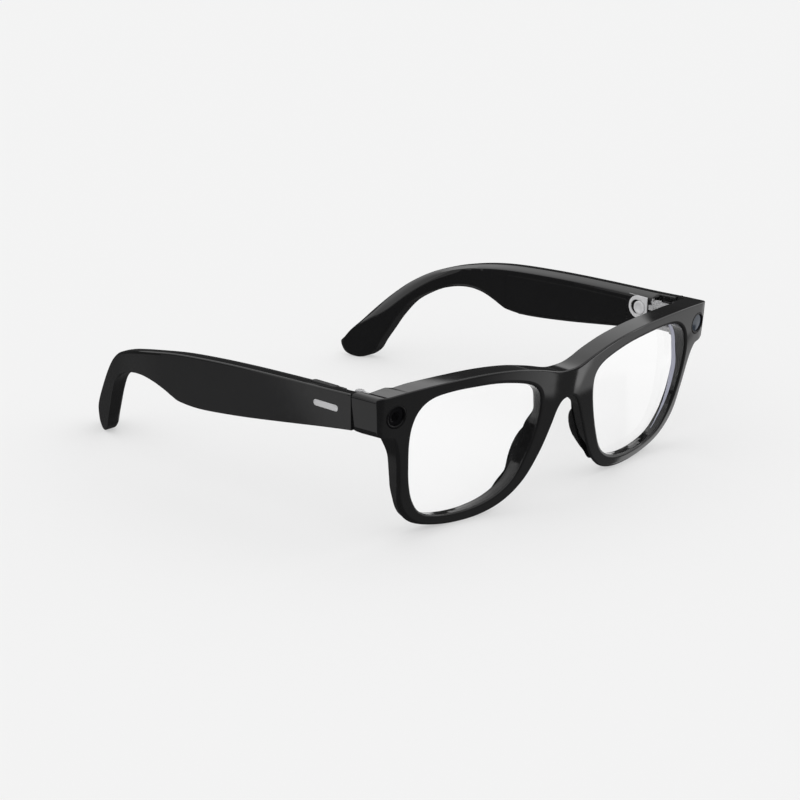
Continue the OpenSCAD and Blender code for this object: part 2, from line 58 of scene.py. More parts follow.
# ---------------------------------------------------------------- outlines, close to the CAD source's
# The front's half on the +X side, as [x, z]
BROW = [[0, 40.8], [4.5, 41.1], [12, 43.1], [22, 45.2], [34, 46.5], [48, 47], [62, 47], [74, 46.5]]
END_EDGE = [[74.75, 45.8], [74, 35.3], [73.3, 34.5]]
RIM = [[68.1, 33.4], [66.1, 28], [64.5, 19.6], [62.5, 10.5], [57.1, 4.2], [48, 1.1], [38, 0], [29, 0.7],
       [21.5, 3.4], [15.2, 8.7], [10.3, 16.7], [7, 23.9], [4.7, 29.1], [2.6, 31.6], [0, 32.2]]
OPENING = [[12.1, 31.5], [12.7, 36], [15.6, 38.8], [21, 40.7], [29.5, 42.4], [38, 43.2], [47, 43.6], [54.6, 43],
           [59.2, 40.5], [61.5, 36.3], [62.1, 31], [61.5, 24.5], [60.2, 17.5], [57.9, 11.5], [54, 6.8],
           [47.5, 4.3], [39, 3.5], [31, 4.3], [24.5, 6.7], [19.6, 10.8], [15.8, 17.8], [13.2, 25.2]]
PAD = [[7.6, 27.8], [11.4, 27.6], [13.3, 24.2], [14.9, 19.4], [17.6, 13.4], [20.6, 9.6], [23.4, 6.8], [22.5, 4.9],
       [19.4, 5.8], [16.4, 9.2], [13.2, 13.9], [10.5, 19.4], [8.3, 24.2]]
# A temple's side, as [distance back from the joint, z]
TEMPLE = [[0, 45.9], [12, 45.4], [30, 44.9], [48, 44.2], [64, 43.2], [76, 42.1], [86, 40.6], [94, 39],
          [101, 37.2], [109, 34.3], [116.7, 29.9], [123.3, 24.6], [128.9, 19.1], [133.8, 13.8], [137.6, 9.3],
          [139.5, 5.6], [138.1, 1.6], [134.6, 0], [131, 0.5], [127.8, 3], [125.7, 6.9], [123.2, 11.1],
          [119.8, 16.8], [115.2, 22.7], [109.8, 26.5], [104.9, 28.8], [101, 30.1], [97.9, 30.9], [94.5, 31.4],
          [90.5, 31.5], [85.3, 30.8], [80.6, 29.4], [77.2, 28.1], [73.6, 27.1], [64, 26.9], [47, 28.6],
          [30, 30.9], [12, 33.5], [0, 35.1]]
COVER = [[18.2, 42.2], [40, 41.7], [60, 40.6], [74.4, 39.6], [74.4, 27.3], [60, 28.2], [40, 30.5], [18.2, 33.4]]
THICK = 6.6                    # a temple's thickness
SPLAY = rad(1.8)               # how far the temples spread
EAR_TURN = rad(27)             # how far an ear piece turns in
EAR_R = 65.0                   # radius of that turn
STRAIGHT = 82.0                # where the turn starts, back from the joint
TEMPLE_X, TEMPLE_Y = 74.8, 17.5    # a temple's outer face at its joint
JOINT_Z = (35.1, 45.9)         # the joint's lower and upper ends
COVER_DEPTH = 5.62             # a temple cover's inner side, in from the temple's outer face
COVER_EASE = 6                 # rounds of corner easing on a cover's outline
INLAY_AT = (40.4, 10.2)        # middle of a temple's inlay: z, and back
BUTTON_AT = (3.4, 13.5)        # middle of the capture button: in from the outer face, and back
KNOB_AT = (12.5, 40.6, 6.3)    # middle of the power slider's knob: back, z, and in
EYE = (68.0, 40.3)             # middle of the light, and mirrored of the camera


def catmull(p, closed, n=8):
    """A smooth curve through the points, the same spline as the CAD source's, with n pieces a span."""
    p = np.array(p, float)
    m = len(p)
    out = []
    for i in range(m if closed else m - 1):
        ids = [(i + k) % m for k in (-1, 0, 1, 2)] if closed else [max(i - 1, 0), i, i + 1, min(i + 2, m - 1)]
        a, b, c, d = p[ids]
        t = np.arange(n)[:, None] / n
        square, cube = 2 * a - 5 * b + 4 * c - d, 3 * b - a - 3 * c + d
        out.append(0.5 * (2 * b + (c - a) * t + square * t**2 + cube * t**3))
    out = np.concatenate(out)
    return out if closed else np.vstack([out, p[-1]])


def spaced(p, gap, closed=True):
    """The same line with points a steady distance apart."""
    q = np.vstack([p, p[:1]]) if closed else np.array(p, float)
    s = np.concatenate([[0], np.cumsum(np.linalg.norm(np.diff(q, axis=0), axis=1))])
    n = max(3, int(round(s[-1] / gap)))
    t = np.linspace(0, s[-1], n + 1)
    r = np.stack([np.interp(t, s, q[:, k]) for k in (0, 1)], 1)
    return r[:-1] if closed else r


def eased(p, rounds):
    """The closed line with its corners taken off, a little more each round."""
    for _ in range(rounds):
        p = (np.roll(p, 1, 0) + 2 * p + np.roll(p, -1, 0)) / 4
    return p


def staggered(lo, hi, gap):
    """Points over a rectangle in rows, every other row moved on by half a gap."""
    rows = enumerate(np.arange(lo[1], hi[1], gap * 0.866))
    return np.array([[x + (gap / 2 if j % 2 else 0), z] for j, z in rows for x in np.arange(lo[0], hi[0], gap)])


def area(p):
    x, y = p[:, 0], p[:, 1]
    return 0.5 * np.sum(x * np.roll(y, -1) - np.roll(x, -1) * y)


def inward(p):
    """Unit normals that point into the area a closed line goes round."""
    e = np.roll(p, -1, 0) - np.roll(p, 1, 0)
    n = np.stack([-e[:, 1], e[:, 0]], 1) / np.linalg.norm(e, axis=1)[:, None]
    return n if area(p) > 0 else -n


def inside(q, p):
    """Which of the points q lie inside the closed line p."""
    hit = np.zeros(len(q), bool)
    a, b = p, np.roll(p, -1, 0)
    for i in range(len(a)):
        (x1, y1), (x2, y2) = a[i], b[i]
        if y1 == y2:
            continue
        cross = ((y1 > q[:, 1]) != (y2 > q[:, 1])) & (q[:, 0] < (x2 - x1) * (q[:, 1] - y1) / (y2 - y1) + x1)
        hit ^= cross
    return hit


def distance(q, p):
    """Distance from each of the points q to the closed line p's points."""
    out = np.full(len(q), 1e9)
    for i in range(0, len(q), 2000):
        out[i:i + 2000] = np.sqrt(((q[i:i + 2000, None, :] - p[None]) ** 2).sum(2)).min(1)
    return out


def step(x, a, b):
    """0 at a, 1 at b, smooth between and steady beyond."""
    t = np.clip((np.asarray(x, float) - a) / (b - a), 0, 1)
    return t * t * (3 - 2 * t)


# ---------------------------------------------------------------- mesh helpers
@contextmanager
def editing(ob):
    """An object's mesh as a bmesh, written back at the end."""
    bm = bmesh.new()
    bm.from_mesh(ob.data)
    yield bm
    bm.to_mesh(ob.data)
    bm.free()


def raw_object(name, verts, faces):
    me = bpy.data.meshes.new(name)
    me.from_pydata([tuple(v) for v in verts], [], [tuple(f) for f in faces])
    ob = bpy.data.objects.new(name, me)
    scene.collection.objects.link(ob)
    return ob


def new_object(name, verts, faces, sharp=SHARP):
    ob = raw_object(name, verts, faces)
    clean(ob, sharp)
    return ob


def clean(ob, sharp=SHARP, merge=2e-6):
    """Merges doubled points, turns the faces outwards, and shades all but the sharp edges smooth."""
    with editing(ob) as bm:
        bmesh.ops.remove_doubles(bm, verts=bm.verts, dist=merge)
        bmesh.ops.recalc_face_normals(bm, faces=bm.faces)
        for f in bm.faces:
            f.smooth = True
        for e in bm.edges:
            e.smooth = not (len(e.link_faces) == 2 and e.calc_face_angle(0) > rad(sharp))


def finish_mods(ob):
    """Applies an object's modifiers."""
    dg = bpy.context.evaluated_depsgraph_get()
    me = bpy.data.meshes.new_from_object(ob.evaluated_get(dg))
    ob.modifiers.clear()
    ob.data = me


def cut(ob, *tools, sharp=SHARP):
    """Takes the tools' shapes out of an object, and removes the tools."""
    for t in tools:
        m = ob.modifiers.new("cut", "BOOLEAN")
        m.object, m.operation, m.solver = t, "DIFFERENCE", "EXACT"
    finish_mods(ob)
    for t in tools:
        bpy.data.objects.remove(t)
    clean(ob, sharp)


def slab(name, outer, holes, place, depth, profiles, grid=1.0, extra=()):
    """A plate with shaped edges. outer and holes are closed lines in the plane of the plate, and material lies
    inside outer and outside the holes. place(u, v, t) gives the point at depth t behind the front face, and
    depth(u, v) the plate's thickness. profiles holds, for each line, arrays d (how far in from the line) and t
    (depth) and back (1 where t counts from the rear face), each (points of the profile, points of the line).
    grid is the faces' point spacing, and extra are further points for the rear face."""
    lines = [outer] + list(holes)
    verts, faces, front, rear = [], [], [], []
    count = 0
    for k, line in enumerate(lines):
        n = inward(line) * (1 if k == 0 else -1)
        d, t, back = profiles[k]
        p = line[None] + n[None] * d[:, :, None]
        tt = np.where(back > 0, depth(p[..., 0], p[..., 1]) - t, t)
        verts.append(place(p[..., 0], p[..., 1], tt).reshape(-1, 3))
        m, steps = len(line), len(d)
        for j in range(steps - 1):
            for i in range(m):
                a, b = count + j * m + i, count + j * m + (i + 1) % m
                faces.append((a, b, b + m, a + m))
        front.append((p[0], count))
        rear.append((p[-1], count + (steps - 1) * m))
        count += steps * m
    for side, rings in (("front", front), ("rear", rear)):
        g = staggered(rings[0][0].min(0), rings[0][0].max(0), grid)
        if side == "rear" and len(extra):
            g = np.vstack([g[distance(g, np.array(extra)) > grid * 0.45], np.array(extra)])
        keep = inside(g, rings[0][0])
        for r, _ in rings[1:]:
            keep &= ~inside(g, r)
        g = g[keep]
        for r, _ in rings:
            g = g[distance(g, r) > grid * 0.55]
        pts, ids, edges = [], [], []
        for r, start in rings:
            base = len(pts)
            pts += [Vector(q) for q in r]
            ids += list(range(start, start + len(r)))
            edges += [(base + i, base + (i + 1) % len(r)) for i in range(len(r))]
        pts += [Vector(q) for q in g]
        ids += list(range(count, count + len(g)))
        t = depth(g[:, 0], g[:, 1]) if side == "rear" else np.zeros(len(g))
        verts.append(place(g[:, 0], g[:, 1], t))
        count += len(g)
        out_v, _, out_f, src, _, _ = delaunay_2d_cdt(pts, edges, [], 0, 1e-7)
        tri = np.array([f for f in out_f if all(src[i] for i in f)])
        co = np.array([tuple(v) for v in out_v])
        mid = co[tri].mean(1)
        ok = inside(mid, rings[0][0])
        for r, _ in rings[1:]:
            ok &= ~inside(mid, r)
        p1, p2 = co[tri[:, 1]] - co[tri[:, 0]], co[tri[:, 2]] - co[tri[:, 0]]
        ok &= np.abs(p1[:, 0] * p2[:, 1] - p1[:, 1] * p2[:, 0]) > 1e-5    # leaves out slivers
        for f in tri[ok]:
            faces.append(tuple(ids[src[i][0]] for i in f))
    return new_object(name, np.concatenate(verts) * MM, faces)


def rounded(n, r_front, r_back, flare=0, steps=5, collar=0):
    """Edge profile: front rounding, straight wall, rear rounding. The radii are numbers or one for each point.
    flare is how much further in the wall's rear end lies. A collar is the width of an even strip between a
    rounding and the face, which keeps the reflections smooth."""
    rf, rb = np.broadcast_to(r_front, n).astype(float), np.broadcast_to(r_back, n).astype(float)
    d, t, back = [rf + collar], [np.zeros(n)], [np.zeros(n)]
    for k in range(steps + 1):
        a = rad(90) * k / steps
        d.append(rf * (1 - math.sin(a)))
        t.append(rf * (1 - math.cos(a)))
        back.append(np.zeros(n))
    for k in range(steps + 1):
        a = rad(90) * (1 - k / steps)
        d.append(rb * (1 - math.sin(a)) + flare)
        t.append(rb * (1 - math.cos(a)))
        back.append(np.ones(n))
    d, t, back = d + [rb + collar + flare], t + [np.zeros(n)], back + [np.ones(n)]
    whole = slice(None) if np.any(collar) else slice(1, -1)
    return np.array(d)[whole], np.array(t)[whole], np.array(back)[whole]


def lathe(name, profile, place, n=96, sharp=SHARP):
    """A turned piece. profile is (radius, height) in millimetres from its axis out and back to it."""
    verts, faces = [], []
    for r, h in profile:
        for i in range(n):
            a = 2 * math.pi * i / n
            verts.append(place @ Vector((r * math.cos(a) * MM, r * math.sin(a) * MM, h * MM)))
    for j in range(len(profile) - 1):
        for i in range(n):
            a, b = j * n + i, j * n + (i + 1) % n
            faces.append((a, b, b + n, a + n))
    ob = new_object(name, verts, faces, sharp)
    with editing(ob) as bm:
        bmesh.ops.holes_fill(bm, edges=[e for e in bm.edges if len(e.link_faces) < 2], sides=0)
    clean(ob, sharp)
    return ob


def cutter(outline, place):
    """A plain closed prism, for cutting. place(u, v, t) with t 0 and 1 at its two ends."""
    n = len(outline)
    u, v = outline[:, 0], outline[:, 1]
    verts = np.concatenate([place(u, v, np.zeros(n)), place(u, v, np.ones(n))]) * MM
    faces = [tuple(range(n)), tuple(range(2 * n - 1, n - 1, -1))]
    faces += [(i, (i + 1) % n, n + (i + 1) % n, n + i) for i in range(n)]
    ob = raw_object("tool", verts, faces)
    with editing(ob) as bm:
        bmesh.ops.recalc_face_normals(bm, faces=bm.faces)
    return ob


def stadium(cx, cy, length, width, n=24):
    """A closed outline with round ends, long in the second direction."""
    r, h = width / 2, (length - width) / 2
    a = np.linspace(0, math.pi, n)
    top = np.stack([cx + r * np.cos(a), cy + h + r * np.sin(a)], 1)
    bottom = np.stack([cx - r * np.cos(a), cy - h - r * np.sin(a)], 1)
    return np.vstack([top, bottom])


# ---------------------------------------------------------------- materials
def new_material(name):
    """A new material, its node tree and its shader."""
    m = bpy.data.materials.new(name)
    m.use_nodes = True
    return m, m.node_tree, m.node_tree.nodes["Principled BSDF"]


def link(nt, a, b):
    nt.links.new(a, b)


def noise(nt, scale, detail, stretch=(1, 1, 1), rough=0.5):
    co = nt.nodes.new("ShaderNodeTexCoord")
    mp = nt.nodes.new("ShaderNodeMapping")
    mp.inputs["Scale"].default_value = stretch
    tx = nt.nodes.new("ShaderNodeTexNoise")
    tx.inputs["Scale"].default_value = scale
    tx.inputs["Detail"].default_value = detail
    tx.inputs["Roughness"].default_value = rough
    link(nt, co.outputs["Object"], mp.inputs["Vector"])
    link(nt, mp.outputs["Vector"], tx.inputs["Vector"])
    return tx.outputs["Fac"]


def ranged(nt, value, lo, hi, a=0.3, b=0.7):
    """The value, with a to b turned into lo to hi."""
    r = nt.nodes.new("ShaderNodeMapRange")
    r.inputs["From Min"].default_value, r.inputs["From Max"].default_value = a, b
    r.inputs["To Min"].default_value, r.inputs["To Max"].default_value = lo, hi
    link(nt, value, r.inputs["Value"])
    return r.outputs["Result"]


def bumped(nt, bsdf, value, distance_m):
    b = nt.nodes.new("ShaderNodeBump")
    b.inputs["Distance"].default_value = distance_m
    link(nt, value, b.inputs["Height"])
    link(nt, b.outputs["Normal"], bsdf.inputs["Normal"])


def tinted(nt, bsdf, value, c1, c2):
    m = nt.nodes.new("ShaderNodeMix")
    m.data_type = "RGBA"
    m.inputs["A"].default_value = (*c1, 1)
    m.inputs["B"].default_value = (*c2, 1)
    link(nt, value, m.inputs["Factor"])
    link(nt, m.outputs["Result"], bsdf.inputs["Base Color"])


def plastic(name, c1, c2, rough, grain, bump, ior=1.5):
    """Moulded plastic: two shades, a range of roughness, and a fine grain."""
    m, nt, b = new_material(name)
    b.inputs["IOR"].default_value = ior
    tinted(nt, b, noise(nt, 160, 4), c1, c2)
    link(nt, ranged(nt, noise(nt, 420, 3), *rough), b.inputs["Roughness"])
    bumped(nt, b, noise(nt, grain, 2), bump)
    return m


def metal(name, c1, c2, rough, stretch=(1, 1, 14), grain=900, bump=4e-6, metallic=1.0):
    """Metal, with fine brushing across z unless stretch says otherwise."""
    m, nt, b = new_material(name)
    b.inputs["Metallic"].default_value = metallic
    n = noise(nt, grain, 4, stretch, 0.6)
    tinted(nt, b, n, c1, c2)
    link(nt, ranged(nt, n, *rough), b.inputs["Roughness"])
    bumped(nt, b, n, bump)
    return m


def glass(name, colour, rough, ior, transmission=0.0, coat=0.0, coat_tint=(1, 1, 1)):
    """A clear or dark glossy pane, with faint waves."""
    m, nt, b = new_material(name)
    b.inputs["Base Color"].default_value = (*colour, 1)
    b.inputs["IOR"].default_value = ior
    b.inputs["Transmission Weight"].default_value = transmission
    b.inputs["Coat Weight"].default_value = coat
    b.inputs["Coat Tint"].default_value = (*coat_tint, 1)
    link(nt, ranged(nt, noise(nt, 300, 2), *rough), b.inputs["Roughness"])
    bumped(nt, b, noise(nt, 240, 1), 1e-7)
    return m


EVEN = (1, 1, 1)
PLASTICS = {    # two shades, roughness, grain, bump, and the index of refraction where it isn't 1.5
    "gloss_black": ((0.0072, 0.0072, 0.0075), (0.0088, 0.0088, 0.0091), (0.04, 0.065), 500, 4e-7),
    "satin_black": ((0.008, 0.008, 0.0085), (0.012, 0.012, 0.0125), (0.24, 0.34), 5200, 5e-6),
    "pad_black": ((0.006, 0.006, 0.0064), (0.009, 0.009, 0.0095), (0.22, 0.32), 5200, 4e-6, 1.28),
    "ring_black": ((0.0022, 0.0022, 0.0025), (0.004, 0.004, 0.0044), (0.1, 0.16), 700, 4e-7, 1.3),
    "speaker_black": ((0.02, 0.02, 0.02), (0.035, 0.035, 0.035), (0.45, 0.6), 3000, 1e-5),
    "mesh_black": ((0.008, 0.008, 0.008), (0.016, 0.016, 0.016), (0.4, 0.55), 6000, 8e-6),
    "barrel_black": ((0.004, 0.004, 0.004), (0.009, 0.009, 0.009), (0.3, 0.42), 4200, 3e-6),
    "diffuser_white": ((0.7, 0.72, 0.74), (0.8, 0.82, 0.84), (0.25, 0.35), 1500, 2e-6),
    "board_green": ((0.012, 0.09, 0.04), (0.02, 0.14, 0.07), (0.25, 0.4), 2600, 1.2e-5),
    "flex_amber": ((0.36, 0.13, 0.02), (0.5, 0.21, 0.04), (0.2, 0.32), 1800, 5e-6),
    "lens_edge": ((0.37, 0.38, 0.46), (0.42, 0.43, 0.52), (0.35, 0.5), 2400, 2e-6),
}
METALS = {      # two shades, roughness, stretch, grain, bump, and how metallic
    "hinge_steel": ((0.5, 0.5, 0.51), (0.72, 0.72, 0.73), (0.2, 0.34), (1, 1, 14), 900, 4e-6, 0.55),
    "plate_silver": ((0.62, 0.62, 0.63), (0.76, 0.76, 0.77), (0.3, 0.42), EVEN, 3600, 5e-6, 0.25),
    "inlay_silver": ((0.68, 0.68, 0.69), (0.78, 0.78, 0.79), (0.12, 0.2), EVEN, 2400, 1e-6, 0.5),
    "contact_gold": ((0.78, 0.52, 0.2), (0.88, 0.64, 0.3), (0.14, 0.24), EVEN, 2600, 2e-6),
    "foil_silver": ((0.5, 0.51, 0.53), (0.62, 0.63, 0.65), (0.22, 0.4), EVEN, 700, 2e-5),
    "core_steel": ((0.3, 0.3, 0.31), (0.42, 0.42, 0.43), (0.3, 0.42)),
}
PANES = {       # colour, roughness, index of refraction, transmission, coat and its tint
    "lens_clear": ((1.0, 1.0, 1.0), (0.0, 0.003), 1.16, 1.0),
    "camera_glass": ((0.001, 0.001, 0.0015), (0.02, 0.05), 1.3),
    "light_glass": ((0.016, 0.024, 0.036), (0.05, 0.1), 1.4, 0.0, 0.3, (0.8, 0.9, 1)),
    "lens_coated": ((0.02, 0.03, 0.14), (0.01, 0.03), 1.7, 0.0, 1.0, (0.6, 0.7, 1)),
}
MATS = {name: plastic(name, *v) for name, v in PLASTICS.items()}
MATS |= {name: metal(name, *v) for name, v in METALS.items()}
MATS |= {name: glass(name, *v) for name, v in PANES.items()}


def dress(ob, material):
    ob.data.materials.clear()
    ob.data.materials.append(MATS[material])


def crisp(ob, direction):
    """Keeps an object's flat sides, which face along the direction, evenly lit right up to their edges."""
    with editing(ob) as bm:
        flat = {f for f in bm.faces if abs(f.normal.dot(direction)) > 0.99996}
        for e in bm.edges:
            if len(e.link_faces) == 2 and (e.link_faces[0] in flat) != (e.link_faces[1] in flat):
                e.smooth = e.smooth and e.calc_face_angle(0) < rad(3)


def give(ob, body, slot, *replaced, material=None):
    """Finishes a piece: its shading, its material, the body it rides on and the nodes it stands for."""
    even = ob.modifiers.new("even", "WEIGHTED_NORMAL")
    even.keep_sharp = True
    finish_mods(ob)
    dress(ob, material or slot)
    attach(ob, body)
    if replaced:
        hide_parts(*replaced)


for name, ob in NODES.items():
    dress(ob, SLOTS[name])


def softened(node, width):
    """A copy of a CAD node with its sharp edges rounded off, which stands for the node."""
    ob = bpy.data.objects.new(node + "_fine", NODES[node].data.copy())
    scene.collection.objects.link(ob)
    with editing(ob) as bm:
        bmesh.ops.remove_doubles(bm, verts=bm.verts, dist=3e-6)
        bmesh.ops.dissolve_limit(bm, angle_limit=rad(1.5), verts=bm.verts, edges=bm.edges)
        edges = [e for e in bm.edges if len(e.link_faces) == 2 and e.calc_face_angle(0) > rad(SHARP)]
        bmesh.ops.bevel(bm, geom=edges, offset=width * MM, segments=2, profile=0.5, affect="EDGES",
                        clamp_overlap=True)
    clean(ob, 40, 1e-7)
    give(ob, BODY[node], SLOTS[node], node)


# ---------------------------------------------------------------- front
FACE_X, FACE_Z = 36.0, 30.0    # the place on the front face that the next five numbers are given for
SLOPE_X, SLOPE_Z = math.tan(0.1018467), math.tan(0.11172733)
CURVE_X, CURVE_Z, TWIST = 0.00143966, 0.00530832, -0.00126372
BRIDGE_SOFT = 4.0              # how far the rounding across the middle of the bridge reaches
END_START = 70.0               # where the endpieces start to curve back
BLOCK_BACK, WALL_BACK = 14.12, 17.42    # y of the rear of an endpiece's block and of its outer wall
WALL_X = (71.35, 71.55, 71.75)          # inner side of that wall, with the step between the two
SEAT_LEAN, SEAT_R = rad(4.5), 450       # the charging contacts' seat: its lean and its curve
FRONT_ROWS = 7                 # rows of a profile with a collar that belong to the front rounding


def face_y(x, z):
    """Front face, curved both ways and rounded across the middle of the bridge."""
    out = np.sqrt(np.asarray(x, float) ** 2 + BRIDGE_SOFT**2)
    z = np.asarray(z, float)
    u, v = out - FACE_X, z - FACE_Z
    ends = 0.094 * np.clip(out - END_START, 0, None) ** 2
    flat = 1.45856 + SLOPE_X * u + SLOPE_Z * (45 - z)
    return flat + CURVE_X * u * u / 2 + CURVE_Z * v**2 / 2 + TWIST * u * v + ends


def rear_face(x, z):
    """Rear face of the rims and the bridge. The front is thinner low down, along the outer rims and at the nasal
    top, and has an even seat for the charging contacts behind the bridge."""
    far = np.abs(x)
    rims = face_y(np.clip(x, -69, 69), z) + 7.5 - (47 - z) * 0.064
    rims = rims - 1.2 * step(far, 56, 63) * step(z, 34, 26)
    rims = rims - 2.1 * step(far, 5, 9) * step(far, 21, 14) * step(z, 24, 31.5) * step(z, 41, 38)
    curve = SEAT_R - np.sqrt(SEAT_R**2 - x * x)
    seat = 6.8 + (curve + (47 - z) * math.sin(SEAT_LEAN)) / math.cos(SEAT_LEAN)
    w = step(far, 13, 6) * step(z, 29, 33)
    return rims * (1 - w) + seat * w


def front_depth(x, z):
    """Thickness of the front, with the endpieces' blocks and outer walls standing back from the rims."""
    u = np.abs(x)
    y = rear_face(x, z)
    block = step(u, 63.5, 65.1) * step(z, 34.2, 35.6)
    wall = step(u, WALL_X[0], WALL_X[-1]) * step(z, 34.2, 34.9)
    y = y + (BLOCK_BACK - y) * block
    y = y + (WALL_BACK - y) * wall
    return y - face_y(x, z)


def front_place(x, z, t):
    return np.stack([x, face_y(x, z) + t - MID_Y, z + 0 * t], -1)


half = np.vstack([catmull(BROW, False), np.array(END_EDGE), catmull(RIM, False)])
outer = eased(spaced(np.vstack([half, (half * [-1, 1])[-2:0:-1]]), 0.5), 2)
hole = spaced(catmull(OPENING, True), 0.5)
holes = [hole, hole * [-1, 1]]
far, high = np.abs(outer[:, 0]), outer[:, 1]
# The rims' walls slope inwards towards the rear: at the nose, at its lower corner, and low down outside
flare = 1.7 * step(far, 25, 18) * step(high, 31.5, 27) * (high < 32)
flare += 2.2 * step(far, 30, 22) * step(far, 10, 14) * step(high, 16, 8)
flare += 0.8 * step(far, 46, 54) * step(high, 18, 11)
low_edge = step(high, 34, 28)
outer_rim = step(far, 50, 60) * step(high, 34, 31)
facing = np.abs(inward(outer))
end_wall = step(far, 70, 72.5) * (high > 34) * facing[:, 0]
collar = 0.45 - 0.45 * step(far, 67, 69) * step(high, 32, 33)
r_front, r_back = 0.45 + 0.2 * low_edge + 0.5 * outer_rim, 0.4 + 0.3 * low_edge - 0.3 * end_wall
d, t, back = rounded(len(outer), r_front, r_back, flare, 5, collar)
d[:FRONT_ROWS] += 0.75 * end_wall    # the endpieces narrow a little towards the front
d[FRONT_ROWS:] += 0.35 * step(far, 58, 66) * (high > 44) * facing[:, 1]    # and fall away towards the rear
nasal = step(hole[:, 0], 20, 15) * step(hole[:, 1], 26, 30) * step(hole[:, 1], 42, 39)
profiles = [(d, t, back)] + [rounded(len(hole), 0.85, 0.5 + 1.1 * nasal, 0, 5, 0.45)] * 2
rear_lines = [[s * u, z] for s in (-1, 1) for u in WALL_X for z in np.arange(33.5, 47, 0.4)]
rear_lines += [[s * u, z] for s in (-1, 1) for u in np.arange(63.4, 71, 0.5) for z in np.arange(34.2, 46.6, 0.5)]
front = slab("front", outer, holes, front_place, front_depth, profiles, 1.0, rear_lines)


def on_face(x, z):
    """Frame on the front face at a place: Z out of the face, in metres."""
    e = 0.05
    du = (face_y(x + e, z) - face_y(x - e, z)) / (2 * e)
    dz = (face_y(x, z + e) - face_y(x, z - e)) / (2 * e)
    n = Vector((du, -1, dz)).normalized()
    up = Vector((0, 0, 1))
    right = up.cross(n).normalized()
    up = n.cross(right)
    m = Matrix((right, up, n)).transposed().to_4x4()
    m.translation = Vector((x, float(face_y(x, z)) - MID_Y, z)) * MM
    return m


eyes = {-1: on_face(-EYE[0], EYE[1]), 1: on_face(EYE[0], EYE[1])}
SOCKET = [(0.01, 1.0), (3.72, 1.0), (3.58, -0.12), (3.55, -0.3), (3.55, -1.6), (0.01, -1.6)]
BEZEL = [(2.45, -1.5), (3.5, -1.5), (3.5, -0.12), (3.44, -0.03), (3.33, 0.03), (3.2, 0.05), (3.05, 0.03),
         (2.86, -0.1), (2.8, -0.22), (2.78, -0.55), (2.7, -0.62), (2.45, -0.62)]
LAMP = [(0.002, -0.28), (0.8, -0.285), (1.6, -0.305), (2.3, -0.34), (2.62, -0.36), (2.74, -0.4), (2.76, -0.46),
        (2.76, -0.81), (0.002, -0.81)]
PANE = [(1.5, -0.62), (1.62, -0.56), (2.6, -0.52), (2.74, -0.56), (2.76, -0.62), (2.76, -0.95), (1.5, -0.95)]
BARREL = [(1.48, -0.7), (1.48, -0.78), (1.3, -0.84), (1.28, -1.0), (1.1, -1.05), (1.06, -1.3), (0.9, -1.3),
          (0.9, -1.58), (1.48, -1.58)]
ELEMENT = [(0.002, -0.9), (0.3, -0.92), (0.6, -0.98), (0.85, -1.08), (1.0, -1.2), (1.02, -1.35), (0.002, -1.35)]
cut(front, *[lathe("tool", SOCKET, m) for m in eyes.values()])
give(front, "front", "gloss_black", "front_frame")
for s, m in eyes.items():
    who = "camera" if s < 0 else "light"
    give(lathe(who + "_bezel", BEZEL, m, 96, 40), "front", "ring_black", who + "_ring")
give(lathe("light_lens", LAMP, eyes[1], 96, 40), "front", "light_glass", "light_window")
# The camera's cover: a flat black pane, a stepped barrel inside it, and the front element
give(lathe("camera_pane", PANE, eyes[-1], 96, 40), "front", "camera_glass", "camera_cover_glass")
give(lathe("camera_tube", BARREL, eyes[-1], 96, 30), "front", "barrel_black", "camera_barrel")
give(lathe("camera_element", ELEMENT, eyes[-1], 64, 40), "front", "lens_coated", "camera_lens_element")


# Lenses: a curved pane that follows the front's curve, with its edge in the rim's groove
LENS_THICK = 1.9
LENS_SET = 2.1         # how far a lens lies behind the front face at the nose; it is deeper towards the temple
LENS_COVER = 2.6       # how far its front face lies before the rear face of the rim there


def lens_place(x, z, t):
    deep = np.clip(rear_face(x, z) - face_y(x, z) - LENS_COVER, LENS_SET, None) - LENS_SET
    return np.stack([x, face_y(x, z) + LENS_SET + deep * step(np.abs(x), 20, 58) + t - MID_Y, z + 0 * t], -1)


def band_place(x, z, t):
    return lens_place(x, z, t + 0.06)


def edge_depth(u, v):
    """How deep the pale edge along a lens' temple side reaches."""
    return 0.1 + 2.1 * step(v, 1, 26) * step(np.abs(u), 30, 40)


for s, who in ((-1, "right"), (1, "left")):
    line = spaced(catmull(OPENING, True), 0.8)
    line = (line - inward(line) * 0.5) * [s, 1]
    lens = slab("lens_pane_" + who, line, [], lens_place, lambda u, v: LENS_THICK + 0 * u,
                [rounded(len(line), 0.2, 0.2, 0, 2)], 2.0)
    lens.visible_shadow = False
    lens.visible_diffuse = False
    give(lens, "front", "lens_clear", "lens_" + who)
    line = spaced(catmull(OPENING, True), 0.5)
    n = inward(line)
    shown = step(np.abs(n[:, 0]), 0.35, 0.6) * step(line[:, 1], 4, 10) * (line[:, 0] > 35)
    proud = (0.16 * shown - 0.06)[:, None]
    band = slab("lens_edge_" + who, (line - n * 0.2) * [s, 1], [(line + n * proud) * [s, 1]], band_place,
                edge_depth, [rounded(len(line), 0.02, 0.02, 0, 2)] * 2, 2.0)
    give(band, "front", "lens_clear", material="lens_edge")


# Nose pads: soft ridges on the rear of the nasal rims
PAD_R, PAD_Z = 11.6, 15.8      # radius and middle height of their round back, in side view
PAD_EDGE, PAD_GRID = 2.1, 0.45     # width of their rounded edge, and their points' spacing


def pad_top(z):
    return 0.3 + np.sqrt(np.clip(PAD_R**2 - (z - PAD_Z) ** 2, 0.2, None))


